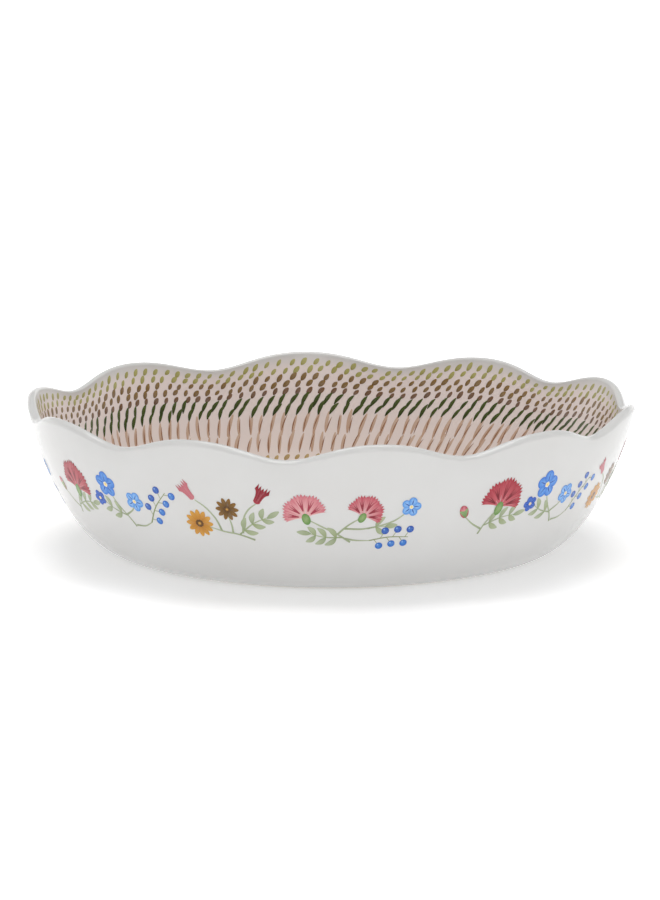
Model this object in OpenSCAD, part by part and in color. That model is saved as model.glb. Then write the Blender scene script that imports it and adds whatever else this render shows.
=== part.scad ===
// Porcelain serving bowl with a scalloped lip, a low foot ring and printed ceramic transfers.
// Millimetres, +Z up. The origin is on the table, at the middle of the foot ring.
// Angles run from the front of the bowl (-Y) towards +X.

/* [Bowl] */
// Mean radius of the lip, outside
rim_r = 130; // [110:1:150]
// Mean height of the lip above the table
rim_h = 61.8; // [50:0.1:80]
// Radius where the wall turns under, outside
base_r = 94.5; // [80:0.5:100]
// Height of that edge above the table
base_z = 1; // [0.5:0.1:2]

/* [Wall line] */
// Angle above level at which the wall leaves its lower edge
rise_angle = 14.6; // [5:0.1:40]
// Length of that pull on the curve
rise_pull = 21.5; // [12:0.5:28]
// Lean outwards from upright at the lip
lip_lean = 6.2; // [0:0.1:15]
// Length of that pull on the curve
lip_pull = 9.2; // [5:0.1:20]

/* [Thickness] */
// Wall at the lip
lip_t = 3.8; // [3:0.1:5]
// Wall at its lower edge
base_t = 7.2; // [7:0.1:8]
// Floor at its middle
floor_t = 4.2; // [3.5:0.1:4.4]

/* [Lip wave] */
// Number of scallops
lobes = 10; // [8:1:12]
// Half the height from dip to crest
wave_h = 3.3; // [0:0.1:4.5]
// How much flatter the crests are than the dips
crest_flat = 0.1; // [0:0.01:0.2]
// How far a crest leans out past a dip, each way from the mean
flare = 1.2; // [0:0.1:3]
// Where the first crest stands, from the front
wave_turn = 7.2; // [0:0.1:36]
// How far the scallops drift from even spacing, as in a hand-finished mould
drift = 6.4; // [0:0.1:8]
// Direction in which the scallops are closest together
drift_turn = 17.4; // [0:0.1:90]

/* [Foot ring] */
// Outer radius
foot_r = 91.5; // [80:0.5:92]
// Width of the ring
foot_w = 6; // [4:0.5:8]
// Height of the ring
foot_h = 2.6; // [2:0.1:4]
// Rounding of its edges
foot_round = 0.7; // [0.3:0.1:0.9]

/* [Transfers] */
// Thickness of a transfer with its colours
print_t = 0.12; // [0.08:0.01:0.3]
// Where the front garland begins, from the front of the bowl
garland_turn = -68.4; // [-90:3.6:0]

/* [Hidden] */
$fn = 160;

// Garlands round the outside, and lining panels inside
repeats = 4;
// Steps round the bowl, a whole number to each panel
steps = repeats * ceil(lobes * 10 / repeats);
per_panel = steps / repeats;
garland_step = round(garland_turn * steps / 360);
// Steps up the wall, round the lip and across the floor
wall_rows = 10;
lip_rows = 4;
// Where on the wall curve the rounded lip begins
lip_start = 0.94;
// The wave fades down the wall by this power of the height
wave_power = 4.5;
// Rows of the wall that the outer garlands and the linings cover
garland_rows = [4, 8];
lining_rows = [0, 10];
// Empty steps between one garland and the next
garland_gap = 1;
// Rings of the floor, as shares of its radius; the well print covers all but the first
floor_rings = [0.96, 0.9, 0.75, 0.4];
// The floor is level in the middle and sweeps up into the wall by this power
floor_power = 16;
// Clearance between the foot ring's side and the rebate it sits in
rebate_gap = 0.1;
foot_slack = (foot_r + rebate_gap) / cos(180 / steps);

// Wall curve: four control points, from the lower edge to the lip
c0 = [base_r, base_z];
c1 = c0 + rise_pull * [cos(rise_angle), sin(rise_angle)];
c3 = [rim_r, rim_h];
c2 = c3 - lip_pull * [sin(lip_lean), cos(lip_lean)];

function curve(t) = pow(1 - t, 3) * c0 + 3 * t * pow(1 - t, 2) * c1
    + 3 * t * t * (1 - t) * c2 + pow(t, 3) * c3;
function tangent(t) = pow(1 - t, 2) * (c1 - c0) + 2 * t * (1 - t) * (c2 - c1) + t * t * (c3 - c2);
function inward(t) = let (d = tangent(t) / norm(tangent(t))) [-d[1], d[0]];
function thick(t) = lip_t + (base_t - lip_t) * pow(1 - t, 2);
function row_t(i) = lip_start * i / wall_rows;

// Height wave and outward lean of the lip at an angle
function turned(a) = a + drift * sin(a - drift_turn) - wave_turn;
function wave(a) = wave_h * (cos(lobes * turned(a)) - crest_flat * cos(2 * lobes * turned(a)));
function lean(a) = tan(lip_lean) * wave(a) + flare * cos(lobes * turned(a));

// A profile point is [radius, height]
function outer_point(i) = curve(row_t(i));
function inner_point(i) = let (t = row_t(i)) curve(t) + thick(t) * inward(t);
function lip_point(j) = let (
        a = outer_point(wall_rows), b = inner_point(wall_rows),
        turn = 180 * j / lip_rows, mid = (a + b) / 2
    )
    mid + cos(turn) * (a - b) / 2 + [0, sin(turn) * (rim_h - mid[1])];

// The floor meets the wall at the inner wall's first point
floor_edge = inner_point(0);
floor_mid = foot_h + floor_t;
function floor_point(s) = [floor_edge[0] * s, floor_mid + (floor_edge[1] - floor_mid) * pow(s, floor_power)];

outer_line = [for (i = [0:wall_rows]) outer_point(i)];
lip_line = [for (j = [1:lip_rows - 1]) lip_point(j)];
inner_line = [for (i = [wall_rows:-1:0]) inner_point(i)];
floor_line = [for (s = floor_rings) floor_point(s)];

// A profile point turned to an angle and moved by its share of the wave
function placed(p, a) = let (
        share = pow(p[1] / rim_h, wave_power),
        r = p[0] + lean(a) * share, z = p[1] + wave(a) * share
    )
    [r * sin(a), -r * cos(a), z];
function step_angle(k) = 360 * k / steps;

// Two triangles between rows j and j + 1 at steps k and m
function quad(j, k, m, rows) = let (
        a = k * rows + j, b = m * rows + j, c = m * rows + j + 1, d = k * rows + j + 1
    )
    [[a, b, c], [a, c, d]];

// A solid of revolution with a wavy lip: the line runs from under the middle, out, up, over
// and back to the middle of the floor
module turned_shell(line, under, over) {
    rows = len(line);
    ring = [for (k = [0:steps - 1], p = line) placed(p, step_angle(k))];
    last = len(ring);
    points = concat(ring, [[0, 0, under], [0, 0, over]]);
    sides = [for (k = [0:steps - 1], j = [0:rows - 2]) each quad(j, k, (k + 1) % steps, rows)];
    bottom = [for (k = [0:steps - 1]) [last, ((k + 1) % steps) * rows, k * rows]];
    top = [for (k = [0:steps - 1]) [last + 1, k * rows + rows - 1, ((k + 1) % steps) * rows + rows - 1]];
    polyhedron(points, [for (f = concat(sides, bottom, top)) [f[2], f[1], f[0]]]);
}

// A closed skin over the steps from k0 to k1: one line of points runs up, the other back down
module skin(up, down, k0, k1) {
    line = concat(up, down);
    rows = len(line);
    count = k1 - k0;
    points = [for (k = [k0:k1], p = line) placed(p, step_angle(k))];
    sides = [for (k = [0:count - 1], j = [0:rows - 2]) each quad(j, k, k + 1, rows)];
    seam = [for (k = [0:count - 1]) let (a = k * rows, b = a + rows) each [
        [a + rows - 1, b + rows - 1, b],
        [a + rows - 1, b, a]
    ]];
    ends = [for (j = [0:len(up) - 2]) let (c = rows - 2 - j, d = rows - 1 - j, e = count * rows) each [
        [j, j + 1, c],
        [j, c, d],
        [e + j, e + c, e + j + 1],
        [e + j, e + d, e + c]
    ]];
    polyhedron(points, [for (f = concat(sides, seam, ends)) [f[2], f[1], f[0]]]);
}

function reversed(list) = [for (n = [len(list) - 1:-1:0]) list[n]];

// A wall point with the transfer's thickness laid on it, inside or outside
function inside_face(i) = inner_point(i) + print_t * inward(row_t(i));
function outside_face(i) = outer_point(i) - print_t * inward(row_t(i));

module bowl_body() color([0.93, 0.93, 0.92]) {
    under_line = [[foot_slack, foot_h], [foot_slack, base_z]];
    turned_shell(concat(under_line, outer_line, lip_line, inner_line, floor_line), foot_h, floor_mid);
}

module foot_ring() color([0.86, 0.85, 0.82])
    rotate_extrude() translate([foot_r - foot_w, 0]) {
        translate([foot_round, foot_round]) circle(foot_round);
        translate([foot_w - foot_round, foot_round]) circle(foot_round);
        translate([foot_round, 0]) square([foot_w - 2 * foot_round, foot_h]);
        translate([0, foot_round]) square([foot_w, foot_h - foot_round]);
    }

module garland(number) color([0.78, 0.45, 0.47]) {
    rows = [garland_rows[0]:garland_rows[1]];
    first = garland_step + (number - 1) * per_panel;
    skin(
        [for (i = rows) outside_face(i)],
        reversed([for (i = rows) outer_point(i)]),
        first, first + per_panel - garland_gap
    );
}

module lining(number) color([0.80, 0.68, 0.48]) {
    rows = [lining_rows[0]:lining_rows[1]];
    first = (number - 1) * per_panel;
    skin(
        [for (i = rows) inner_point(i)],
        reversed([for (i = rows) inside_face(i)]),
        first, first + per_panel
    );
}

module well_print() color([0.62, 0.55, 0.38]) {
    rings = [for (n = [len(floor_rings) - 1:-1:1]) floor_point(floor_rings[n])];
    upper = reversed([for (p = rings) p + [0, print_t]]);
    turned_shell(concat(rings, upper), floor_mid, floor_mid + print_t);
}

bowl_body();
foot_ring();
garland(1);  // garland_1
garland(2);  // garland_2
garland(3);  // garland_3
garland(4);  // garland_4
lining(1);  // lining_1
lining(2);  // lining_2
lining(3);  // lining_3
lining(4);  // lining_4
well_print();
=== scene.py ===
"""A porcelain serving bowl with a scalloped lip, printed flower garlands outside and a printed
lining inside, standing on a pale studio floor. Metres; the origin is on the floor under the
middle of the bowl, and angles run from the front (-Y) towards +X."""
import ast
import math
import random

import bpy
import numpy as np
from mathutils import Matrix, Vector


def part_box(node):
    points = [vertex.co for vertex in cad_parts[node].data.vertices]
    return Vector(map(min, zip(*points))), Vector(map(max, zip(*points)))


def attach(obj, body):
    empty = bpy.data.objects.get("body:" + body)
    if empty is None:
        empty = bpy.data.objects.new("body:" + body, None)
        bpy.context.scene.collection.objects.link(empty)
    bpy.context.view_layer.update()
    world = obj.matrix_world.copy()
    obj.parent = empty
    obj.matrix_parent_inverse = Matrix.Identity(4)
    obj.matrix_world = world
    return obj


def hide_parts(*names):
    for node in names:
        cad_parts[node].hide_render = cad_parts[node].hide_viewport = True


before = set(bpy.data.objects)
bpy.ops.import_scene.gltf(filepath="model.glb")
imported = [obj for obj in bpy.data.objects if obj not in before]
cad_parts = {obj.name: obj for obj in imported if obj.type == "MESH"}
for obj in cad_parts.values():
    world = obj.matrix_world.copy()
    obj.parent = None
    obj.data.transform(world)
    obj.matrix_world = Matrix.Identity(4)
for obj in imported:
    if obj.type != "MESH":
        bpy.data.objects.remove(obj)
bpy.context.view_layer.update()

MM = 0.001

# ---------------------------------------------------------------- the bowl's sizes, as designed
LIP_RADIUS = 130 * MM
LIP_HEIGHT = 61.8 * MM
BASE_RADIUS = 94.5 * MM
BASE_HEIGHT = 1 * MM
RISE_ANGLE = math.radians(14.6)
RISE_PULL = 21.5 * MM
LIP_LEAN = math.radians(6.2)
LIP_PULL = 9.2 * MM
LIP_THICK = 3.8 * MM
BASE_THICK = 7.2 * MM
FLOOR_THICK = 4.2 * MM
FLOOR_POWER = 16
LIP_START = 0.94
FOOT_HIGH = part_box("foot_ring")[1]
FOOT_RADIUS = FOOT_HIGH.x
FOOT_HEIGHT = FOOT_HIGH.z
FOOT_WIDTH = 6 * MM
FOOT_ROUND = 0.7 * MM
REBATE_GAP = 0.1 * MM

# The lip's wave: its sizes become the named inputs of the node group below
WAVE = {
    "Lip Height": LIP_HEIGHT,
    "Scallops": 10.0,
    "Wave Height": 3.3 * MM,
    "Crest Flatness": 0.1,
    "Flare": 1.2 * MM,
    "Lean": math.tan(LIP_LEAN),
    "Drift": math.radians(6.4),
    "Drift Turn": math.radians(17.4),
    "Wave Turn": math.radians(7.2),
    "Fade": 4.5,
}

GARLANDS = 4
# Flat artwork is drawn at this radius, which makes 2.25 mm of it one degree
ART_RADIUS = 2.25 * MM * 180 / math.pi


# ---------------------------------------------------------------- small helpers
def linear(hex_colour):
    """An sRGB hex colour as linear red, green and blue."""
    parts = [int(hex_colour[i:i + 2], 16) / 255 for i in (1, 3, 5)]
    return [c / 12.92 if c <= 0.04045 else ((c + 0.055) / 1.055) ** 2.4 for c in parts]


def rgba(hex_colour):
    return (*linear(hex_colour), 1.0)


def add(tree, kind, sockets=None, **settings):
    """Adds a node. Each entry of sockets is a value for that input, or a socket to link to it."""
    made = tree.nodes.new(kind)
    for name, value in settings.items():
        setattr(made, name, value)
    for key, value in (sockets or {}).items():
        if isinstance(value, bpy.types.NodeSocket):
            tree.links.new(value, made.inputs[key])
        else:
            made.inputs[key].default_value = value
    return made


OPERATORS = {ast.Add: "ADD", ast.Sub: "SUBTRACT", ast.Mult: "MULTIPLY", ast.Div: "DIVIDE", ast.Pow: "POWER"}


def formula(tree, text, **named):
    """Builds a formula as maths nodes. Its names are sockets or numbers, its functions are the
    node's own operations in small letters, such as sine(a)."""
    def build(part):
        if isinstance(part, ast.Constant):
            return float(part.value)
        if isinstance(part, ast.Name):
            return named[part.id]
        if isinstance(part, ast.BinOp):
            operation, parts = OPERATORS[type(part.op)], [part.left, part.right]
        else:
            operation, parts = part.func.id.upper(), part.args
        values = {i: build(p) for i, p in enumerate(parts)}
        return add(tree, "ShaderNodeMath", values, operation=operation).outputs[0]
    return build(ast.parse(text).body[0].value)


def geometry_tree(name, inputs, geometry_in=True):
    """A geometry node tree with named inputs, given as {name: (socket type, value)}."""
    tree = bpy.data.node_groups.new(name, "GeometryNodeTree")
    if geometry_in:
        tree.interface.new_socket("Geometry", in_out="INPUT", socket_type="NodeSocketGeometry")
    for label, (kind, value) in inputs.items():
        socket = tree.interface.new_socket(label, in_out="INPUT", socket_type="NodeSocket" + kind)
        if value is not None:
            socket.default_value = value
    tree.interface.new_socket("Geometry", in_out="OUTPUT", socket_type="NodeSocketGeometry")
    return tree, tree.nodes.new("NodeGroupInput").outputs, tree.nodes.new("NodeGroupOutput").inputs


def shaped(piece_name, mesh, steps):
    """Runs geometry trees over a mesh, one after another, and returns the result as a plain
    mesh object. steps is a list of (tree, {input name: value}) or (modifier type, settings)."""
    worker = bpy.data.objects.new(piece_name + ".worker", mesh)
    bpy.context.scene.collection.objects.link(worker)
    for step, values in steps:
        if isinstance(step, str):
            modifier = worker.modifiers.new(step, step)
            for name, value in values.items():
                setattr(modifier, name, value)
            continue
        modifier = worker.modifiers.new(step.name, "NODES")
        modifier.node_group = step
        for item in step.interface.items_tree:
            if item.in_out == "INPUT" and item.name in values:
                modifier[item.identifier] = values[item.name]
    depsgraph = bpy.context.evaluated_depsgraph_get()
    plain = bpy.data.meshes.new_from_object(worker.evaluated_get(depsgraph), depsgraph=depsgraph)
    bpy.data.objects.remove(worker)
    used = [material for material in plain.materials if material]
    plain.materials.clear()
    plain.materials.append(used[0])
    piece = bpy.data.objects.new(piece_name, plain)
    bpy.context.scene.collection.objects.link(piece)
    return piece


def line_mesh(name, line):
    """A mesh of edges only, through points (radius, height) in the XZ plane."""
    mesh = bpy.data.meshes.new(name)
    mesh.from_pydata([(r, 0, z) for r, z in line], [(i, i + 1) for i in range(len(line) - 1)], [])
    return mesh


# ---------------------------------------------------------------- camera, lights, floor
def camera_and_studio():
    """Portrait camera 10 degrees above level, one big soft light over the bowl and a weaker one
    in front, and a white sweep. White on white, only soft steps of tone model the bowl."""
    elevation = math.radians(10.14)
    distance = 1.132
    target = Vector((-0.0004, 0, 0.0399))
    lens = bpy.data.cameras.new("camera")
    lens.lens = 104.9
    lens.sensor_width = 36
    view = bpy.data.objects.new("camera", lens)
    view.location = target + distance * Vector((0, -math.cos(elevation), math.sin(elevation)))
    view.rotation_euler = (math.pi / 2 - elevation, 0, 0)
    bpy.context.scene.collection.objects.link(view)
    bpy.context.scene.camera = view
    bpy.context.scene.view_settings.view_transform = "Standard"

    # name: (size x, size y, power, place, point looked at)
    lamps = {
        "front": (0.7, 0.5, 3.0, (0.25, -2.1, 0.75), (0, 0, 0.03)),
        "top": (1.4, 1.4, 28.0, (0, 0.2, 1.9), (0, 0, 0)),
    }
    for name, (wide, deep, power, place, aim) in lamps.items():
        light = bpy.data.lights.new(name, "AREA")
        light.shape, light.size, light.size_y, light.energy = "RECTANGLE", wide, deep, power
        lamp = bpy.data.objects.new(name, light)
        lamp.location = place
        lamp.rotation_euler = (Vector(aim) - Vector(place)).to_track_quat("-Z", "Y").to_euler()
        bpy.context.scene.collection.objects.link(lamp)

    world = bpy.data.worlds.new("studio")
    world.use_nodes = True
    world.node_tree.nodes["Background"].inputs["Color"].default_value = (1, 1, 1, 1)
    world.node_tree.nodes["Background"].inputs["Strength"].default_value = 0.3
    bpy.context.scene.world = world

    # The paper lies flat for 2.4 m all round the bowl, and then curves up a metre
    sweep = bpy.data.meshes.new("floor")
    line = [(r, 0) for r in (0.2, 0.5, 0.9, 1.4, 1.9, 2.4)]
    line += [(2.4 + math.sin(c), 1 - math.cos(c)) for c in np.linspace(0.1, math.pi / 2, 15)]
    around = 72
    turns = [2 * math.pi * k / around for k in range(around)]
    points = [(r * math.cos(c), r * math.sin(c), z) for r, z in line for c in turns]
    faces = [tuple(range(around))]
    faces += [(j * around + i, j * around + (i + 1) % around,
               (j + 1) * around + (i + 1) % around, (j + 1) * around + i)[::-1]
              for j in range(len(line) - 1) for i in range(around)]
    sweep.from_pydata(points, [], faces)
    sweep.shade_smooth()
    floor = bpy.data.objects.new("floor", sweep)
    bpy.context.scene.collection.objects.link(floor)
    sweep.materials.append(studio_paper())


def studio_paper():
    """Matt white background paper with a glow painted into it, weakest next to the bowl and growing
    outwards; this painted light stands in for a lamp so that it stays the lightest thing; a fine fibre shows
    close by."""
    material, tree, surface = principled("studio_paper_matt_glowing", "#F9F9F9", roughness=0.9)
    place = add(tree, "ShaderNodeTexCoord").outputs["Object"]
    grain = add(tree, "ShaderNodeTexNoise", {"Vector": place, "Scale": 300.0, "Detail": 2.0})
    shade = add(tree, "ShaderNodeMix", {
        0: grain.outputs[0], 6: rgba("#F7F7F7"), 7: rgba("#FBFBFB")}, data_type="RGBA")
    tree.links.new(shade.outputs[2], surface.inputs["Base Color"])
    # Painted light: the paper glows by itself, more strongly the further it lies from the bowl
    away = add(tree, "ShaderNodeVectorMath", {0: place}, operation="LENGTH").outputs["Value"]
    glow = add(tree, "ShaderNodeMapRange", {
        "Value": away, "From Min": 0.14, "From Max": 0.5, "To Min": 0.3, "To Max": 0.52}).outputs[0]
    surface.inputs["Emission Color"].default_value = (1, 1, 1, 1)
    tree.links.new(glow, surface.inputs["Emission Strength"])
    return material


def principled(name, hex_colour, **sockets):
    """A new material with its Principled shader's plain values set."""
    material = bpy.data.materials.new(name)
    material.use_nodes = True
    tree = material.node_tree
    surface = tree.nodes["Principled BSDF"]
    surface.inputs["Base Color"].default_value = rgba(hex_colour)
    for key, value in sockets.items():
        surface.inputs[key.replace("_", " ").title().replace("Ior", "IOR")].default_value = value
    return material, tree, surface


camera_and_studio()


# ---------------------------------------------------------------- the bowl's form
def wall(t, thick=0.0):
    """A point (radius, height) on the outside of the wall, or that far inside it; t runs from
    the wall's lower edge, 0, to the lip, 1."""
    c0 = np.array([BASE_RADIUS, BASE_HEIGHT])
    c1 = c0 + RISE_PULL * np.array([math.cos(RISE_ANGLE), math.sin(RISE_ANGLE)])
    c3 = np.array([LIP_RADIUS, LIP_HEIGHT])
    c2 = c3 - LIP_PULL * np.array([math.sin(LIP_LEAN), math.cos(LIP_LEAN)])
    point = (1 - t) ** 3 * c0 + 3 * t * (1 - t) ** 2 * c1 + 3 * t * t * (1 - t) * c2 + t ** 3 * c3
    along = (1 - t) ** 2 * (c1 - c0) + 2 * t * (1 - t) * (c2 - c1) + t * t * (c3 - c2)
    along /= np.linalg.norm(along)
    return point + thick * np.array([-along[1], along[0]])


def thickness(t):
    return LIP_THICK + (BASE_THICK - LIP_THICK) * (1 - t) ** 2


def outside_line(count):
    return [wall(t) for t in np.linspace(0, LIP_START, count)]


def inside_line(count):
    return [wall(t, thickness(t)) for t in np.linspace(0, LIP_START, count)]


def lip_line(count):
    a, b = wall(LIP_START), wall(LIP_START, thickness(LIP_START))
    middle = (a + b) / 2
    turns = np.linspace(0, math.pi, count + 2)[1:-1]
    return [middle + math.cos(c) * (a - b) / 2 + [0, math.sin(c) * (LIP_HEIGHT - middle[1])] for c in turns]


def floor_line(count):
    """The floor inside, from its middle out to the wall."""
    edge = wall(0, thickness(0))
    middle = FOOT_HEIGHT + FLOOR_THICK
    shares = [math.sin(s * math.pi / 2) for s in np.linspace(0, 1, count)][:-1]
    return [np.array([edge[0] * s, middle + (edge[1] - middle) * s ** FLOOR_POWER]) for s in shares]


def form_group():
    """Turns (angle, radius, height) into a place on the bowl, with its share of the lip's wave."""
    tree = bpy.data.node_groups.new("Bowl Form", "GeometryNodeTree")
    for label in ("Angle", "Radius", "Height"):
        tree.interface.new_socket(label, in_out="INPUT", socket_type="NodeSocketFloat")
    for label, value in WAVE.items():
        socket = tree.interface.new_socket(label, in_out="INPUT", socket_type="NodeSocketFloat")
        socket.default_value = value
    tree.interface.new_socket("Place", in_out="OUTPUT", socket_type="NodeSocketVector")
    given = tree.nodes.new("NodeGroupInput").outputs
    turned = formula(tree, "n * (a + drift * sine(a - drift_turn) - wave_turn)", a=given["Angle"],
                     n=given["Scallops"], drift=given["Drift"], drift_turn=given["Drift Turn"],
                     wave_turn=given["Wave Turn"])
    crest = formula(tree, "cosine(turned)", turned=turned)
    rise = formula(tree, "height * (crest - flat * cosine(2 * turned))", height=given["Wave Height"],
                   crest=crest, flat=given["Crest Flatness"], turned=turned)
    share = formula(tree, "maximum(z, 0) / lip", z=given["Height"], lip=given["Lip Height"])
    share = formula(tree, "share ** fade", share=share, fade=given["Fade"])
    radius = formula(tree, "r + (lean * rise + flare * crest) * share", r=given["Radius"], lean=given["Lean"],
                     rise=rise, flare=given["Flare"], crest=crest, share=share)
    place = add(tree, "ShaderNodeCombineXYZ", {
        "X": formula(tree, "r * sine(a)", r=radius, a=given["Angle"]),
        "Y": formula(tree, "0 - r * cosine(a)", r=radius, a=given["Angle"]),
        "Z": formula(tree, "z + rise * share", z=given["Height"], rise=rise, share=share)})
    tree.links.new(place.outputs[0], tree.nodes.new("NodeGroupOutput").inputs[0])
    return tree


def turning_tree(form):
    """Spins a line of points round the bowl's axis, in even steps, onto the bowl's form."""
    tree, given, made = geometry_tree("Turn On The Wheel", {
        "Steps Round": ("Int", 360), "Material": ("Material", None)})
    rows = add(tree, "GeometryNodeAttributeDomainSize", {0: given["Geometry"]},
               component="MESH").outputs["Point Count"]
    around = formula(tree, "steps + 1", steps=given["Steps Round"])
    grid = add(tree, "GeometryNodeMeshGrid", {"Vertices X": rows, "Vertices Y": around}).outputs["Mesh"]
    index = add(tree, "GeometryNodeInputIndex").outputs[0]
    row = formula(tree, "floor((index + 0.5) / around)", index=index, around=around)
    step = formula(tree, "index - row * around", index=index, row=row, around=around)
    point = add(tree, "GeometryNodeSampleIndex", {
        0: given["Geometry"], 1: add(tree, "GeometryNodeInputPosition").outputs[0], "Index": row},
        data_type="FLOAT_VECTOR")
    part = add(tree, "ShaderNodeSeparateXYZ", {0: point.outputs[0]})
    place = add(tree, "GeometryNodeGroup", node_tree=form)
    tree.links.new(
        formula(tree, "step / steps * turn", step=step, steps=given["Steps Round"], turn=2 * math.pi),
        place.inputs["Angle"])
    tree.links.new(part.outputs["X"], place.inputs["Radius"])
    tree.links.new(part.outputs["Z"], place.inputs["Height"])
    moved = add(tree, "GeometryNodeSetPosition", {0: grid, "Position": place.outputs[0]})
    closed = add(tree, "GeometryNodeMergeByDistance", {0: moved.outputs[0], "Distance": 0.002 * MM})
    outward = add(tree, "GeometryNodeFlipFaces", {0: closed.outputs[0]})
    out = add(tree, "GeometryNodeRealizeInstances", {0: outward.outputs[0]})
    out = add(tree, "GeometryNodeSetMaterial", {0: out.outputs[0], "Material": given["Material"]})
    tree.links.new(out.outputs[0], made[0])
    return tree


def laying_tree(form):
    """Lays flat artwork on the bowl: x runs round it, y along a line up the wall, z lifts off
    it. Side is 1 on the outside and -1 on the inside."""
    tree, given, made = geometry_tree("Lay On The Wall", {
        "Wall Line": ("Object", None), "Turn": ("Float", 0.0), "Art Radius": ("Float", ART_RADIUS),
        "Side": ("Float", 1.0), "Material": ("Material", None)})
    flat = add(tree, "ShaderNodeSeparateXYZ", {0: add(tree, "GeometryNodeInputPosition").outputs[0]}).outputs
    line = add(tree, "GeometryNodeObjectInfo", {0: given["Wall Line"]}).outputs["Geometry"]
    curve = add(tree, "GeometryNodeMeshToCurve", {0: line}).outputs[0]
    sample = add(tree, "GeometryNodeSampleCurve", {"Curves": curve, "Length": flat["Y"]}, mode="LENGTH")
    point = add(tree, "ShaderNodeSeparateXYZ", {0: sample.outputs["Position"]}).outputs
    along = add(tree, "ShaderNodeSeparateXYZ", {0: sample.outputs["Tangent"]}).outputs
    place = add(tree, "GeometryNodeGroup", node_tree=form)
    for label, text in {
        "Angle": "turn + side * x / art_radius",
        "Radius": "r + side * lift * up",
        "Height": "z - side * lift * out",
    }.items():
        value = formula(tree, text, turn=given["Turn"], side=given["Side"], x=flat["X"],
                        art_radius=given["Art Radius"], r=point["X"], z=point["Z"], lift=flat["Z"],
                        up=along["Z"], out=along["X"])
        tree.links.new(value, place.inputs[label])
    moved = add(tree, "GeometryNodeSetPosition", {0: given["Geometry"], "Position": place.outputs[0]})
    out = add(tree, "GeometryNodeRealizeInstances", {0: moved.outputs[0]})
    out = add(tree, "GeometryNodeSetMaterial", {0: out.outputs[0], "Material": given["Material"]})
    tree.links.new(out.outputs[0], made[0])
    return tree


FORM = form_group()
TURNING = turning_tree(FORM)
LAYING = laying_tree(FORM)


# ---------------------------------------------------------------- ceramic finishes
# The fired glaze's own white, which also shows through thin paint
GLAZE_WHITE = "#CFCECC"


def glazed_porcelain():
    """Hard-paste porcelain under a clear dipped glaze: milk white, a little light carried
    inside, a smooth wet gloss with the faint ripple of fired glass."""
    material, tree, surface = principled(
        "porcelain_dipped_clear_glaze", GLAZE_WHITE, roughness=0.16, ior=1.52, specular_ior_level=0.3,
        subsurface_weight=0.12, subsurface_scale=0.004)
    surface.inputs["Subsurface Radius"].default_value = (1.0, 0.95, 0.9)
    place = add(tree, "ShaderNodeTexCoord").outputs["Object"]
    # Thickness of the glaze varies over some 30 mm, and its skin ripples over 4 mm
    cloud = add(tree, "ShaderNodeTexNoise", {"Vector": place, "Scale": 1 / (30 * MM), "Detail": 3.0})
    shade = add(tree, "ShaderNodeMix", {
        0: cloud.outputs[0], 6: rgba("#CCCBC9"), 7: rgba("#D2D2D1")}, data_type="RGBA")
    tree.links.new(shade.outputs[2], surface.inputs["Base Color"])
    ripple = add(tree, "ShaderNodeTexNoise", {"Vector": place, "Scale": 1 / (4 * MM), "Detail": 1.0})
    bump = add(tree, "ShaderNodeBump", {"Strength": 0.12, "Distance": 0.05 * MM, "Height": ripple.outputs[0]})
    tree.links.new(bump.outputs[0], surface.inputs["Normal"])
    return material


def ground_bisque():
    """Bare fired porcelain where the foot was wiped and ground flat: matt, slightly grey and
    cream, with a fine grit; above it the glaze begins in a wavering line."""
    material, tree, surface = principled("bisque_wiped_and_ground", "#D8D3C8", roughness=0.7)
    place = add(tree, "ShaderNodeTexCoord").outputs["Object"]
    grit = add(tree, "ShaderNodeTexNoise", {"Vector": place, "Scale": 1 / (0.5 * MM), "Detail": 4.0})
    waver = add(tree, "ShaderNodeTexNoise", {"Vector": place, "Scale": 1 / (9 * MM), "Detail": 2.0})
    height = add(tree, "ShaderNodeSeparateXYZ", {0: place}).outputs["Z"]
    glazed = add(tree, "ShaderNodeMapRange", {
        "Value": formula(tree, "z + (w - 0.5) * waver", z=height, w=waver.outputs[0], waver=0.5 * MM),
        "From Min": 0.55 * MM, "From Max": 0.8 * MM}).outputs[0]
    bare = add(tree, "ShaderNodeMix", {
        0: grit.outputs[0], 6: rgba("#C9C2B4"), 7: rgba("#DFDBD2")}, data_type="RGBA")
    both = add(tree, "ShaderNodeMix", {0: glazed, 6: bare.outputs[2], 7: rgba(GLAZE_WHITE)}, data_type="RGBA")
    tree.links.new(both.outputs[2], surface.inputs["Base Color"])
    tree.links.new(formula(tree, "0.72 - 0.56 * g", g=glazed), surface.inputs["Roughness"])
    bump = add(tree, "ShaderNodeBump", {"Strength": 0.3, "Distance": 0.03 * MM, "Height": grit.outputs[0]})
    tree.links.new(bump.outputs[0], surface.inputs["Normal"])
    return material


def onglaze_colour(name):
    """Printed ceramic colours melted into the glaze. Each point carries its colour, and in its
    alpha how thickly it lies; washes break up over 3 mm and pigment grains over 0.5 mm."""
    material, tree, surface = principled(name, GLAZE_WHITE, roughness=0.22, ior=1.52, specular_ior_level=0.3)
    place = add(tree, "ShaderNodeTexCoord").outputs["Object"]
    paint = add(tree, "ShaderNodeAttribute", attribute_name="paint")
    wash = add(tree, "ShaderNodeTexNoise", {"Vector": place, "Scale": 1 / (3 * MM), "Detail": 2.0})
    grain = add(tree, "ShaderNodeTexNoise", {"Vector": place, "Scale": 1 / (0.5 * MM), "Detail": 2.0})
    strength = formula(tree, "thick * (0.86 + 0.24 * wash + 0.14 * grain)", thick=paint.outputs["Alpha"],
                       wash=wash.outputs[0], grain=grain.outputs[0])
    strength = formula(tree, "minimum(strength, 1)", strength=strength)
    mixed = add(tree, "ShaderNodeMix", {
        0: strength, 6: rgba(GLAZE_WHITE), 7: paint.outputs["Color"]}, data_type="RGBA")
    tree.links.new(mixed.outputs[2], surface.inputs["Base Color"])
    return material


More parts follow.
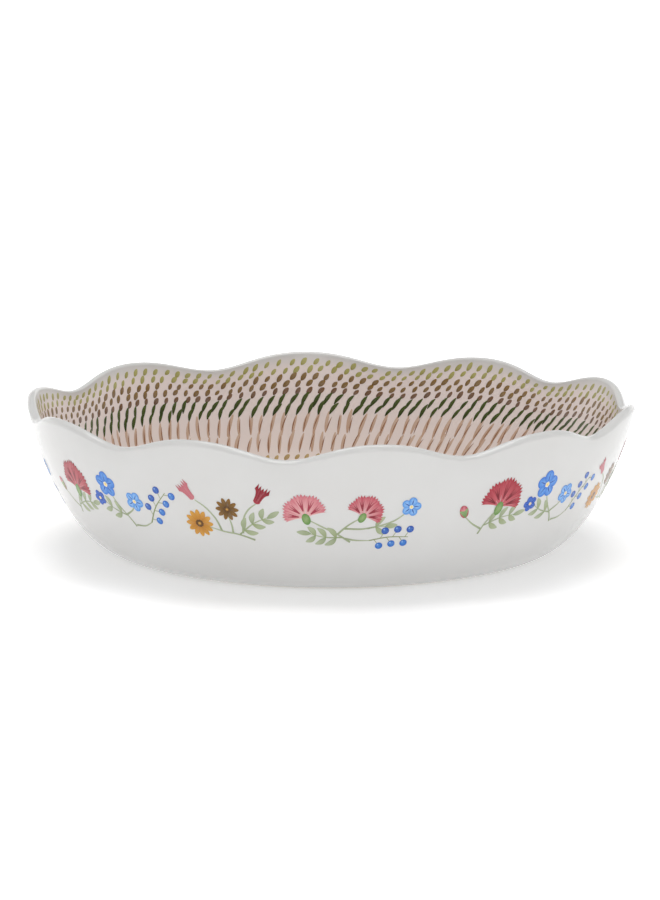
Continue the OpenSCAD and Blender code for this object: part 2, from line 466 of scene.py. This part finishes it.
# ---------------------------------------------------------------- the bowl itself
def bowl_pieces():
    """The fired shell and the foot ring it stands on, both turned from their own line."""
    inner_foot = FOOT_RADIUS - FOOT_WIDTH
    under = [(0, FOOT_HEIGHT)]
    under += [(r, FOOT_HEIGHT) for r in np.linspace(0.2, 1, 5) * (FOOT_RADIUS + REBATE_GAP)]
    under += [(FOOT_RADIUS + REBATE_GAP, BASE_HEIGHT + 0.25 * MM),
              (FOOT_RADIUS + REBATE_GAP + 0.25 * MM, BASE_HEIGHT)]
    shell = [*under, *outside_line(48), *lip_line(11), *inside_line(46)[::-1], *floor_line(18)[::-1]]
    body = shaped("porcelain_bowl", line_mesh("bowl_line", shell), [
        (TURNING, {"Steps Round": 720, "Material": glazed_porcelain()})])

    def corner(r, z, start):
        turns = [math.radians(start + 15 * k) for k in range(7)]
        return [(r + FOOT_ROUND * math.cos(c), z + FOOT_ROUND * math.sin(c)) for c in turns]

    ring = [(inner_foot, FOOT_HEIGHT), *corner(inner_foot + FOOT_ROUND, FOOT_ROUND, 180),
            *corner(FOOT_RADIUS - FOOT_ROUND, FOOT_ROUND, 270), (FOOT_RADIUS, FOOT_HEIGHT),
            (inner_foot, FOOT_HEIGHT)]
    foot = shaped("turned_foot_ring", line_mesh("foot_line", ring), [
        (TURNING, {"Steps Round": 360, "Material": ground_bisque()})])
    for piece, node, slot in ((body, "bowl_body", "porcelain"), (foot, "foot_ring", "bisque_foot")):
        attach(piece, "root")
        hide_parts(node)
    return body, foot


bowl_pieces()


# ---------------------------------------------------------------- painted shapes
# How thick the fired colours lie on the glaze
PRINT_THICK = 0.03 * MM


def mix(a, b, share):
    return [x + (y - x) * share for x, y in zip(a, b)]


def spin(x, y, degrees):
    c, s = math.cos(math.radians(degrees)), math.sin(math.radians(degrees))
    return x * c - y * s, x * s + y * c


class Art:
    """Painted shapes laid flat, in millimetres, x to the right and y up. A shape is a sheet of
    small faces with its colour at every point, and layer says which shapes lie over which."""
    LIFT = 0.05
    LAYER = 0.02

    def __init__(self, seed):
        self.points, self.faces, self.paint = [], [], []
        self.random = random.Random(seed)

    def sheet(self, place, paint, rows, columns, layer, closed=False):
        """Rows of points from place(u, v) and paint(u, v), both from 0 to 1."""
        start = len(self.points)
        across = columns if closed else columns + 1
        for j in range(rows + 1):
            for i in range(across):
                u, v = j / rows, i / columns
                x, y = place(u, v)
                red, green, blue, thick = paint(u, v)
                self.points.append((x, y, self.LIFT + self.LAYER * layer))
                # What lies over other shapes hides them
                self.paint.append((red, green, blue, max(thick, 0.97) if layer > 2 else thick))
        quads = [(start + j * across + i, start + j * across + (i + 1) % across,
                  start + (j + 1) * across + (i + 1) % across, start + (j + 1) * across + i)
                 for j in range(rows) for i in range(columns)]
        area = 0
        for quad in quads:
            for a, b in zip(quad, quad[1:] + quad[:1]):
                area += self.points[a][0] * self.points[b][1] - self.points[b][0] * self.points[a][1]
        self.faces += quads if area > 0 else [quad[::-1] for quad in quads]

    def brushed(self, first, last, thick=0.95, streak=0.25, edge=0.12):
        """Paint for a sheet: first colour to last colour along it, with streaks down its
        length and a little more pigment at its edges, as a loaded brush leaves it."""
        first, last = ([0.92 * c for c in linear(colour)] for colour in (first, last))
        waves = [(self.random.uniform(1, 7), self.random.uniform(0, 6.3)) for _ in range(3)]

        def paint(u, v):
            swing = sum(math.sin(6.3 * n * v + phase + 2 * u) for n, phase in waves) / 3
            share = min(1, max(0, u + streak * swing))
            rim = max(abs(2 * v - 1), abs(2 * u - 1)) ** 6
            return (*mix(first, last, share), min(1, thick * (0.95 + 0.08 * swing) + edge * rim))
        return paint

    def leaf(self, base, tip, width, first, last=None, bend=0.0, blunt=0.8, layer=1, thick=0.9):
        """A blade from base to tip; bend bows it sideways by that share of its length."""
        dx, dy = tip[0] - base[0], tip[1] - base[1]
        length = math.hypot(dx, dy)

        def place(u, v):
            bow = bend * 4 * u * (1 - u)
            half = width / 2 * max(0.04, math.sin(math.pi * min(1, u * 0.94 + 0.03)) ** blunt)
            side = (2 * v - 1) * half + bow * length
            return base[0] + dx * u - dy / length * side, base[1] + dy * u + dx / length * side
        self.sheet(place, self.brushed(first, last or first, thick), max(6, round(length / 0.7)), 6, layer)

    def stroke(self, points, widths, colour, last=None, layer=0, thick=0.85):
        """A brush line through points, with its width at each of them."""
        knots = np.array(points, float)
        before, after = 2 * knots[0] - knots[1], 2 * knots[-1] - knots[-2]
        padded = np.vstack([before, knots, after])
        spans = len(knots) - 1

        def along(u):
            k = min(int(u * spans), spans - 1)
            f = u * spans - k
            p0, p1, p2, p3 = padded[k:k + 4]
            spot = 0.5 * (2 * p1 + (p2 - p0) * f + (2 * p0 - 5 * p1 + 4 * p2 - p3) * f * f
                          + (3 * p1 - p0 - 3 * p2 + p3) * f ** 3)
            heading = 0.5 * ((p2 - p0) + 2 * (2 * p0 - 5 * p1 + 4 * p2 - p3) * f
                             + 3 * (3 * p1 - p0 - 3 * p2 + p3) * f * f)
            return spot, heading / np.linalg.norm(heading), widths[k] + (widths[k + 1] - widths[k]) * f

        def place(u, v):
            spot, heading, width = along(u)
            side = (v - 0.5) * width
            return spot[0] - heading[1] * side, spot[1] + heading[0] * side
        length = sum(np.linalg.norm(b - a) for a, b in zip(knots, knots[1:]))
        self.sheet(place, self.brushed(colour, last or colour, thick), max(4, round(length / 0.7)), 2, layer)

    def fan(self, base, heading, length, spread, first, last, teeth=7, bite=0.1, inner=0.12, layer=2,
            thick=0.95):
        """A frilled petal that opens from base in the direction heading, in degrees."""
        def place(u, v):
            across = 2 * v - 1
            angle = heading + spread / 2 * across * (0.55 + 0.45 * u)
            frill = 1 + bite * (abs((v * teeth) % 1 - 0.5) * 2 - 0.5) * u ** 3
            reach = length * (inner + (1 - inner) * u) * frill * (1 - 0.12 * across * across * u)
            x, y = spin(reach, 0, angle)
            return base[0] + x, base[1] + y
        self.sheet(place, self.brushed(first, last, thick, streak=0.3), 14, teeth * 4, layer)

    def oval(self, centre, wide, tall, inside, outside, tilt=0.0, points=0, bite=0.0, layer=2, thick=0.92):
        """A disc painted from its middle outwards; points and bite scallop its rim."""
        around = max(20, points * 6)
        brush = self.brushed(inside, outside, thick, edge=0.0)

        def place(u, v):
            notch = 1 - abs(math.cos(math.pi * points * v))
            rim = 1 - bite * u * notch
            reach = max(u, 0.02) * rim
            turn = 2 * math.pi * v
            x, y = spin(wide / 2 * reach * math.cos(turn), tall / 2 * reach * math.sin(turn), tilt)
            return centre[0] + x, centre[1] + y
        self.sheet(place, lambda u, v: brush(u ** 1.5, v), 6, around, layer, closed=True)

    def bell(self, base, heading, length, mouth, first, last, tips=5, layer=2):
        """A trumpet flower: a round-ended tube that flares a little to a mouth with thin tips."""
        def place(u, v):
            across = 2 * v - 1
            half = mouth / 2 * (0.56 * min(1, u * 7 + 0.12) ** 0.5 + 0.44 * u ** 3)
            tip = 0.26 * (1 - abs((v * tips) % 1 - 0.5) * 2) * u ** 6 * (1 + 0.3 * math.sin(9 * v))
            x = length * (0.8 * u + tip - 0.05 * across * across * u)
            x, y = spin(x, half * across * (1 + 0.2 * u ** 8), heading)
            return base[0] + x, base[1] + y
        self.sheet(place, self.brushed(first, last, 1, streak=0.35), 16, tips * 6, layer)
        for side in (-0.22, 0.06, 0.26):
            ends = [near(base, *spin(length * u, mouth * side * (0.7 + 0.5 * u), heading))
                    for u in (0.12, 0.42, 0.72)]
            self.stroke(ends, (0.2, 0.6, 0.15), last, layer=layer + 1, thick=0.6)

    def mesh(self, name):
        made = bpy.data.meshes.new(name)
        made.from_pydata([(x * MM, y * MM, z * MM) for x, y, z in self.points], [], self.faces)
        paint = made.color_attributes.new("paint", "FLOAT_COLOR", "POINT")
        paint.data.foreach_set("color", np.array(self.paint, float).ravel())
        return made


# ---------------------------------------------------------------- the outside garland
GREEN, SAGE, PALE_SAGE = "#5E8B45", "#88976C", "#A8B290"
CRIMSON, ROSE = "#9C2D3A", "#C05A66"


def spot(angle, height):
    """A place on the flat artwork, from degrees round the bowl and millimetres up the wall."""
    return ART_RADIUS / MM * math.radians(angle), height


def near(place, x, y):
    return place[0] + x, place[1] + y


def stem(art, *spots, colour="#8E9B72"):
    """A thin stem through places given as (angle, height)."""
    widths = [0.9] + [0.7] * (len(spots) - 2) + [0.4]
    art.stroke([spot(*place) for place in spots], widths, colour, PALE_SAGE)


def leaf_sprig(art, base, heading, length, pairs, width=2.4):
    """A bowed twig with even pairs of leaves and one more at its tip."""
    tip = near(base, *spin(length, 0, heading))
    middle = near(mix(base, tip, 0.5), *spin(0, 0.06 * length, heading))
    art.stroke([base, middle, tip], (0.7, 0.6, 0.3), SAGE, PALE_SAGE)
    for k in range(pairs):
        share = (k + 0.6) / (pairs + 0.4)
        root = near(mix(base, tip, share), *spin(0, 0.24 * length * share * (1 - share), heading))
        blade = 6.4 - 1.4 * share
        for side in (-1, 1):
            end = near(root, *spin(blade, 0, heading + 44 * side))
            art.leaf(root, end, width, SAGE if side > 0 else "#8C9A68", PALE_SAGE, bend=0.1 * side, layer=1)
    art.leaf(mix(base, tip, 0.9), near(tip, *spin(4.6, 0, heading)), width, SAGE, PALE_SAGE, layer=1)


def carnation(art, place, heading, size, heart, frill, vein):
    """A frilled flower from the side: five petals fanned evenly over a green calyx."""
    for lean, reach, layer in ((-66, 0.84, 2), (66, 0.84, 2), (-34, 0.95, 3), (34, 0.95, 3), (0, 1.0, 4)):
        art.fan(place, heading + lean, size * reach, 46, heart, frill, teeth=6, bite=0.12, layer=layer,
                thick=1)
        for turn in (-9, 0, 9):
            line = [near(place, *spin(size * reach * share, 0, heading + lean + turn * share))
                    for share in (0.3, 0.55, 0.8)]
            art.stroke(line, (0.2, 0.5, 0.1), vein, layer=5, thick=0.6)
    calyx = near(place, *spin(-0.06 * size, 0, heading))
    art.oval(calyx, 0.32 * size, 0.5 * size, "#8DA56C", GREEN, tilt=heading - 90, layer=6)


def flower_of_five(art, place, size, inside, outside, turn=0):
    """A small open flower of five round petals round a pale yellow eye."""
    for k in range(5):
        angle = 72 * k + turn
        art.oval(near(place, *spin(0.29 * size, 0, angle)), 0.44 * size, 0.46 * size, inside, outside,
                 tilt=angle - 90, layer=2 + k % 2, thick=1)
        vein = [near(place, *spin(size * share, 0, angle)) for share in (0.14, 0.26, 0.4)]
        art.stroke(vein, (0.3, 0.45, 0.1), "#20409C", layer=4)
    art.oval(place, 0.22 * size, 0.22 * size, "#E9C65C", "#F6F0DC", points=5, bite=0.2, layer=5)


def daisy(art, place, size, petals, inside, outside):
    """An open flower of narrow petals round a dark seeded middle."""
    for k in range(petals):
        angle = 360 / petals * k
        art.leaf(near(place, *spin(0.1 * size, 0, angle)), near(place, *spin(0.5 * size, 0, angle)),
                 0.19 * size, inside, outside, blunt=0.55, layer=2 + k % 2, thick=1)
    art.oval(place, 0.3 * size, 0.28 * size, "#7A5220", "#4A3213", points=9, bite=0.12, layer=4, thick=1)
    art.oval(place, 0.11 * size, 0.1 * size, "#D2A24A", "#B98434", layer=5)


def berry_sprig(art, base, heading, length, count):
    """Round blue berries on alternate sides of a bowed stalk."""
    tip = near(base, *spin(length, 0, heading))
    art.stroke([base, near(mix(base, tip, 0.5), *spin(0, 0.05 * length, heading)), tip],
               (0.6, 0.5, 0.3), "#7F8C52")
    for k in range(count):
        share = (k + 0.8) / (count + 0.3)
        root = near(mix(base, tip, share), *spin(0, 0.2 * length * share * (1 - share), heading))
        place = near(root, *spin(4.0, 0, heading + (58 if k % 2 else -58)))
        art.stroke([root, mix(root, place, 0.5), place], (0.3, 0.3, 0.2), "#8E9A68")
        light, deep = (("#4784CE", "#2F62BA"), ("#3E6CBC", "#2B4CA4"))[k % 2]
        art.oval(place, 3.3, 3.3, light, deep, layer=2, thick=1)
        art.oval(near(place, -0.5, 0.6), 0.9, 1.1, "#8FB4E4", light, layer=3)


def closed_bud(art, place, heading, size):
    """A pink bud held by two green sepals."""
    middle = near(place, *spin(0.5 * size, 0, heading))
    art.oval(middle, 0.62 * size, size, "#DA8E96", "#A83848", tilt=heading - 90, layer=2, thick=1)
    for side in (-1, 1):
        end = near(place, *spin(0.72 * size, 0, heading + 24 * side))
        art.leaf(place, end, 0.3 * size, "#6F8F55", "#8FA874", bend=-0.14 * side, layer=3)


def garland_art():
    """Four sprays of plain meadow flowers, each leaning towards the next."""
    art = Art(seed=11)
    # Crimson carnation and its bud
    stem(art, (-60.5, 33.5), (-59.6, 38), (-58.4, 42), (-57.2, 45))
    stem(art, (-60.2, 36), (-62.4, 39), (-64.2, 42.6))
    leaf_sprig(art, spot(-59.8, 37.4), 12, 17, 3)
    carnation(art, spot(-57.2, 45.6), 78, 12.4, "#C8616A", "#A42E3C", "#7A1826")
    closed_bud(art, spot(-64.2, 42.4), 112, 6.4)
    # Blue flowers and a berry sprig
    stem(art, (-41.4, 33.6), (-42.6, 38), (-44.6, 43.6), (-46.2, 50.6))
    stem(art, (-42.8, 39.2), (-40.8, 42), (-39.8, 45.4))
    leaf_sprig(art, spot(-42.8, 38.6), 158, 14, 2)
    flower_of_five(art, spot(-46.4, 52.2), 11.5, "#5F9CE2", "#2F6FCC", 18)
    flower_of_five(art, spot(-39.6, 46.4), 9.2, "#8CBCEE", "#4A8AD8", -10)
    flower_of_five(art, spot(-49.6, 44.6), 6.8, "#3F74D0", "#2247A8", 40)
    stem(art, (-41.2, 34.4), (-38.8, 34.8), (-36.8, 37.0))
    berry_sprig(art, spot(-36.8, 37.0), 52, 19, 7)
    # Ochre and brown daisies with two bells
    stem(art, (-14.6, 33.4), (-17.6, 35.6), (-20.6, 36.6), (-23.6, 38.4))
    stem(art, (-18.8, 36.4), (-18.8, 40), (-19.2, 44.6))
    leaf_sprig(art, spot(-17.4, 35.8), 34, 17, 3)
    daisy(art, spot(-25.4, 39.6), 12.6, 12, "#B0701F", "#D29C42")
    daisy(art, spot(-19.2, 47.2), 10.0, 10, "#5E4218", "#8A6228")
    stem(art, (-16.8, 36.4), (-16.4, 42.6), (-15.2, 47.6), (-13.4, 51.2))
    art.bell(spot(-13.6, 51.0), 62, 8.6, 5.2, "#A43140", "#8A1C2A", tips=5)
    art.bell(spot(-25.6, 50.4), 128, 8.0, 4.8, "#C2727A", "#BE6A74", tips=5)
    stem(art, (-21.0, 36.8), (-21.8, 42.2), (-23.4, 47.0), (-25.4, 50.2))
    # Two blush carnations, berries and a last small blue flower
    stem(art, (3.6, 33.2), (1.0, 37.4), (-1.8, 41.0), (-4.4, 44.6))
    stem(art, (1.2, 37.2), (3.2, 41.4), (5.6, 44.8))
    leaf_sprig(art, spot(2.2, 35.6), 172, 15, 3)
    carnation(art, spot(-4.6, 45.2), 106, 11.0, "#E2B2B0", "#C9747E", "#A23A4B")
    carnation(art, spot(5.8, 45.2), 62, 9.4, "#DDA3A6", "#B94F5C", "#93303E")
    leaf_sprig(art, spot(6.8, 39.6), 6, 8, 1)
    stem(art, (2.6, 35.0), (4.8, 34.0), (7.4, 33.8))
    berry_sprig(art, spot(7.2, 33.8), 4, 17, 6)
    flower_of_five(art, spot(14.6, 49.0), 8.2, "#8CBCEE", "#4A8AD8", 6)
    stem(art, (2.4, 39.8), (6.4, 39.6), (11.2, 42.4), (14.0, 46.8))
    return art.mesh("garland_art")


def line_object(name, line):
    made = bpy.data.objects.new(name, line_mesh(name, line))
    bpy.context.scene.collection.objects.link(made)
    return made


def lay_garlands():
    """The garland laid four times round the outside, a quarter turn apart."""
    outside = line_object("outside_line", outside_line(200))
    art, colours = garland_art(), onglaze_colour("onglaze_enamel_garland_transfer")
    for number in range(GARLANDS):
        piece = shaped(f"garland_transfer_{number + 1}", art, [
            (LAYING, {"Wall Line": outside, "Turn": 2 * math.pi * number / GARLANDS, "Side": 1.0,
                      "Material": colours}),
            ("SOLIDIFY", {"thickness": PRINT_THICK, "offset": -1.0})])
        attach(piece, "root")
        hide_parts(f"garland_{number + 1}")
    bpy.data.objects.remove(outside)


lay_garlands()


# ---------------------------------------------------------------- the printed lining
QUARTER = ART_RADIUS * math.pi / 2
WASH, DEEP_WASH = "#EADBD7", "#E2CFC4"


def marks_tree():
    """Rows of small painted marks across a panel, every other row shifted by half a space.
    Each mark keeps its own brush strength and takes a colour between the two given."""
    tree, given, made = geometry_tree("Rows Of Marks", {
        "Mark": ("Object", None), "Width": ("Float", QUARTER), "First Height": ("Float", 0.0),
        "Rows": ("Int", 2), "Row Pitch": ("Float", 2.6 * MM), "Marks Across": ("Int", 34),
        "Slant": ("Float", 0.8), "Size": ("Float", 1.0), "Uneven": ("Float", 0.12),
        "Colour": ("Color", None), "Other Colour": ("Color", None), "Strength": ("Float", 1.0),
        "Seed": ("Int", 1)})

    def chance(number, low, high):
        seed = formula(tree, "seed * 10 + number", seed=given["Seed"], number=float(number))
        return add(tree, "FunctionNodeRandomValue", {2: low, 3: high, "Seed": seed},
                   data_type="FLOAT").outputs[1]

    points = add(tree, "GeometryNodeMeshGrid", {
        "Vertices X": given["Marks Across"], "Vertices Y": given["Rows"]})
    index = add(tree, "GeometryNodeInputIndex").outputs[0]
    column = formula(tree, "floor((index + 0.5) / rows)", index=index, rows=given["Rows"])
    row = formula(tree, "index - column * rows", index=index, column=column, rows=given["Rows"])
    across = formula(tree, "(column + 0.25 + 0.5 * modulo(row, 2) + uneven * swing) / count * width",
                     column=column, row=row, uneven=given["Uneven"], swing=chance(1, -1.0, 1.0),
                     count=given["Marks Across"], width=given["Width"])
    height = formula(tree, "first + (row + uneven * swing) * pitch", first=given["First Height"], row=row,
                     uneven=given["Uneven"], swing=chance(2, -1.0, 1.0), pitch=given["Row Pitch"])
    spots = add(tree, "ShaderNodeCombineXYZ", {"X": across, "Y": height}).outputs[0]
    spots = add(tree, "GeometryNodeSetPosition", {0: points.outputs["Mesh"], "Position": spots})
    turn = formula(tree, "slant + uneven * swing", slant=given["Slant"], uneven=given["Uneven"],
                   swing=chance(3, -1.5, 1.5))
    turn = add(tree, "ShaderNodeCombineXYZ", {"Z": turn}).outputs[0]
    scale = formula(tree, "size * (1 + uneven * swing)", size=given["Size"], uneven=given["Uneven"],
                    swing=chance(4, -1.2, 1.0))
    mark = add(tree, "GeometryNodeObjectInfo", {0: given["Mark"]}).outputs["Geometry"]
    laid = add(tree, "GeometryNodeInstanceOnPoints", {
        "Points": spots.outputs[0], "Instance": mark, "Rotation": turn, "Scale": scale})
    toned = add(tree, "GeometryNodeStoreNamedAttribute", {
        0: laid.outputs[0], "Name": "tone", "Value": chance(5, 0.0, 1.0)},
        data_type="FLOAT", domain="INSTANCE")
    loose = add(tree, "GeometryNodeRealizeInstances", {0: toned.outputs[0]})
    brush = add(tree, "GeometryNodeInputNamedAttribute", {"Name": "paint"},
                data_type="FLOAT_COLOR").outputs[0]
    brush = add(tree, "FunctionNodeSeparateColor", {0: brush}).outputs
    tone = add(tree, "GeometryNodeInputNamedAttribute", {"Name": "tone"}, data_type="FLOAT").outputs[0]
    share = formula(tree, "minimum(1, 0.25 * tone + 0.75 * run)", tone=tone, run=brush["Red"])
    colour = add(tree, "ShaderNodeMix", {0: share, 6: given["Colour"], 7: given["Other Colour"]},
                 data_type="RGBA").outputs[2]
    colour = add(tree, "FunctionNodeSeparateColor", {0: colour}).outputs
    paint = add(tree, "FunctionNodeCombineColor", {
        "Red": colour["Red"], "Green": colour["Green"], "Blue": colour["Blue"],
        "Alpha": formula(tree, "a * strength", a=brush["Alpha"], strength=given["Strength"])}).outputs[0]
    painted = add(tree, "GeometryNodeStoreNamedAttribute", {
        0: loose.outputs[0], "Name": "paint", "Value": paint}, data_type="FLOAT_COLOR", domain="POINT")
    both = add(tree, "GeometryNodeJoinGeometry")
    tree.links.new(given["Geometry"], both.inputs[0])
    tree.links.new(painted.outputs[0], both.inputs[0])
    out = add(tree, "GeometryNodeSetMaterial", {0: both.outputs[0]})
    tree.links.new(out.outputs[0], made[0])
    return tree


def mark_object(name, length, width, layer, bend=0.0, blunt=0.8):
    """One brush mark lying along x with its middle at the origin; its red runs from 0 to 1
    along it, which the tree of rows turns into a blend of two colours."""
    art = Art(seed=len(name))
    art.leaf((-length / 2, 0), (length / 2, 0), width, "#000000", "#FFFFFF", bend=bend, blunt=blunt,
             layer=layer)
    made = bpy.data.objects.new(name, art.mesh(name))
    bpy.context.scene.collection.objects.link(made)
    return made


def ground_art(low, high, fade):
    """The pinkish wash the marks lie on, thinning out to bare glaze over its top margin."""
    art = Art(seed=5)
    wash, deep = linear(WASH), linear(DEEP_WASH)

    def paint(u, v):
        height = low + (high - low) * u
        return (*mix(deep, wash, u), 0.75 * min(1, (high - height) / fade) + 0.01)
    art.sheet(lambda u, v: (QUARTER / MM * v, low + (high - low) * u), paint,
              round((high - low) / 1.5), 120, -1)
    return art.mesh("lining_ground")


def floor_art(radius):
    """The round print for the middle of the floor: a rosette of petals and leaves, then rings
    of seed marks, drawn round the bowl's own middle."""
    art = Art(seed=9)
    wash, deep = linear(WASH), linear(DEEP_WASH)

    def ground(u, v):
        return (*mix(wash, deep, u), 0.75 * min(1, (1 - u) * radius / 2) + 0.01)
    turn = 2 * math.pi
    art.sheet(lambda u, v: (radius * u * math.cos(turn * v), radius * u * math.sin(turn * v)), ground,
              30, 120, -1, closed=True)

    def ring(count, reach, length, width, lean, first, last, offset=0.0, bend=0.0, layer=2, thick=0.9):
        for k in range(count):
            angle = 360 * (k + offset) / count + art.random.uniform(-1, 1)
            middle = spin(reach + art.random.uniform(-0.2, 0.2), 0, angle)
            half = spin(length / 2, 0, angle + lean + art.random.uniform(-5, 5))
            art.leaf(near(middle, -half[0], -half[1]), near(middle, *half), width, first, last,
                     bend=bend, layer=layer, thick=thick)

    ring(80, 77.5, 4.2, 2.1, 60, "#9C7C3C", "#C2A56A")
    ring(80, 73.8, 4.2, 2.1, 60, "#80662E", "#A08A4C", 0.5)
    ring(60, 67.5, 8.0, 2.2, 52, "#343D1A", "#59652F", bend=0.06, layer=3)
    ring(64, 57.6, 10.5, 2.4, 12, "#A9805F", "#C6A88E", layer=1)
    ring(64, 57.0, 8.0, 0.8, 12, "#71482F", "#9A7050", layer=3)
    for order, reach in enumerate((49.5, 46.6, 43.7)):
        ring(round(reach * 1.06), reach, 4.0, 2.0, 58, "#A5A650", "#B7B67C", 0.5 * (order % 2))
    ring(16, 35.5, 12.0, 5.2, 16, "#5C6C38", "#8FA068", bend=0.1, layer=1)
    ring(16, 35.5, 8.5, 0.5, 16, "#3C4A24", "#5C6C38", bend=0.1, layer=3)
    ring(16, 37.0, 3.0, 2.6, 0, CRIMSON, ROSE, 0.5, layer=3)
    for k in range(10):
        art.fan(spin(3.0, 0, 36 * k), 36 * k, 24, 42, "#C8676F", "#DFACA8", teeth=5, bite=0.12,
                layer=3 + k % 2, thick=0.85)
        for lean in (-9, 0, 9):
            art.stroke([spin(9, 0, 36 * k + lean * 0.6), spin(15, 0, 36 * k + lean),
                        spin(21, 0, 36 * k + lean)],
                       (0.8, 0.5, 0.1), "#9C2D3A", layer=5, thick=0.55)
    art.oval((0, 0), 17, 17, "#8A5A22", "#D2A24A", points=18, bite=0.16, layer=6)
    ring(18, 5.4, 2.4, 1.1, 0, "#6B431C", "#8A5A22", layer=7)
    for point, (x, y, z) in enumerate(art.points):
        art.points[point] = (ART_RADIUS / MM * math.atan2(x, y), math.hypot(x, y), z)
    # The wall's flat artwork runs round the bowl, so its faces turn over: put them back
    art.faces = [face[::-1] for face in art.faces]
    return art.mesh("floor_art")


def lay_linings():
    """Four equal panels of rows of marks that climb the inside of the wall, and a round print
    on the floor, all burnt on over the same pinkish wash."""
    inside = line_object("inside_line", [*floor_line(60), *inside_line(120)])
    floor_edge = sum(np.linalg.norm(b - a) for a, b in zip(
        floor_line(60), floor_line(60)[1:] + inside_line(2)[:1])) / MM
    arcs = inside_line(120)
    wall_end = floor_edge + sum(np.linalg.norm(b - a) for a, b in zip(arcs, arcs[1:])) / MM
    colours = onglaze_colour("onglaze_enamel_lining_transfer")
    marks = {
        "seed_mark": mark_object("seed_mark", 3.7, 2.0, 2, blunt=0.6),
        "leaf_mark": mark_object("leaf_mark", 7.2, 1.9, 3, bend=0.06),
        "long_mark": mark_object("long_mark", 11.4, 1.9, 1, bend=0.03, blunt=0.6),
        "fine_mark": mark_object("fine_mark", 8.4, 0.6, 3, bend=0.03),
    }
    tree = marks_tree()
    # mark, first row from the wall's end, rows, pitch, marks across, slant, size, two colours
    bands = [
        ("seed_mark", -5.6, 2, 3.1, 34, 46, 1.0, "#8A8430", "#B4AF62"),
        ("seed_mark", -11.8, 2, 3.1, 34, 46, 1.05, "#634408", "#8C6A26"),
        ("seed_mark", -14.9, 1, 3.1, 34, 46, 1.05, "#523010", "#7C5630"),
        ("leaf_mark", -23.0, 2, 4.0, 34, 54, 1.0, "#2C3614", "#525F2A"),
        ("long_mark", -39.6, 2, 9.4, 34, 72, 1.0, "#B48C70", "#CBAE98"),
        ("fine_mark", -39.8, 2, 9.4, 34, 72, 1.0, "#7A4E34", "#A37B5E"),
        ("seed_mark", -56.6, 4, 3.1, 34, 46, 1.05, "#93702E", "#BB9C5C"),
        ("leaf_mark", -61.6, 1, 3.0, 34, 60, 0.7, "#66733C", "#8E9C64"),
    ]
    for number in range(GARLANDS):
        steps = []
        for order, (mark, below, rows, pitch, across, slant, size, first, last) in enumerate(bands):
            steps.append((tree, {
                "Mark": marks[mark], "First Height": (wall_end + below) * MM, "Rows": rows,
                "Row Pitch": pitch * MM, "Marks Across": across, "Slant": math.radians(slant),
                "Size": size, "Colour": rgba(first), "Other Colour": rgba(last), "Seed": order + 1}))
        steps.append((LAYING, {"Wall Line": inside, "Turn": 2 * math.pi * (number + 1) / GARLANDS,
                               "Side": -1.0, "Material": colours}))
        steps.append(("SOLIDIFY", {"thickness": PRINT_THICK, "offset": -1.0}))
        piece = shaped(f"lining_transfer_{number + 1}", ground_art(floor_edge + 0.4, wall_end, 5.0), steps)
        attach(piece, "root")
        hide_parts(f"lining_{number + 1}")
    floor = shaped("well_transfer", floor_art(0.9 * wall(0, thickness(0))[0] / MM), [
        (LAYING, {"Wall Line": inside, "Side": -1.0, "Material": colours}),
        ("SOLIDIFY", {"thickness": PRINT_THICK, "offset": -1.0})])
    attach(floor, "root")
    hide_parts("well_print")
    for used in (*marks.values(), inside):
        bpy.data.objects.remove(used)


lay_linings()
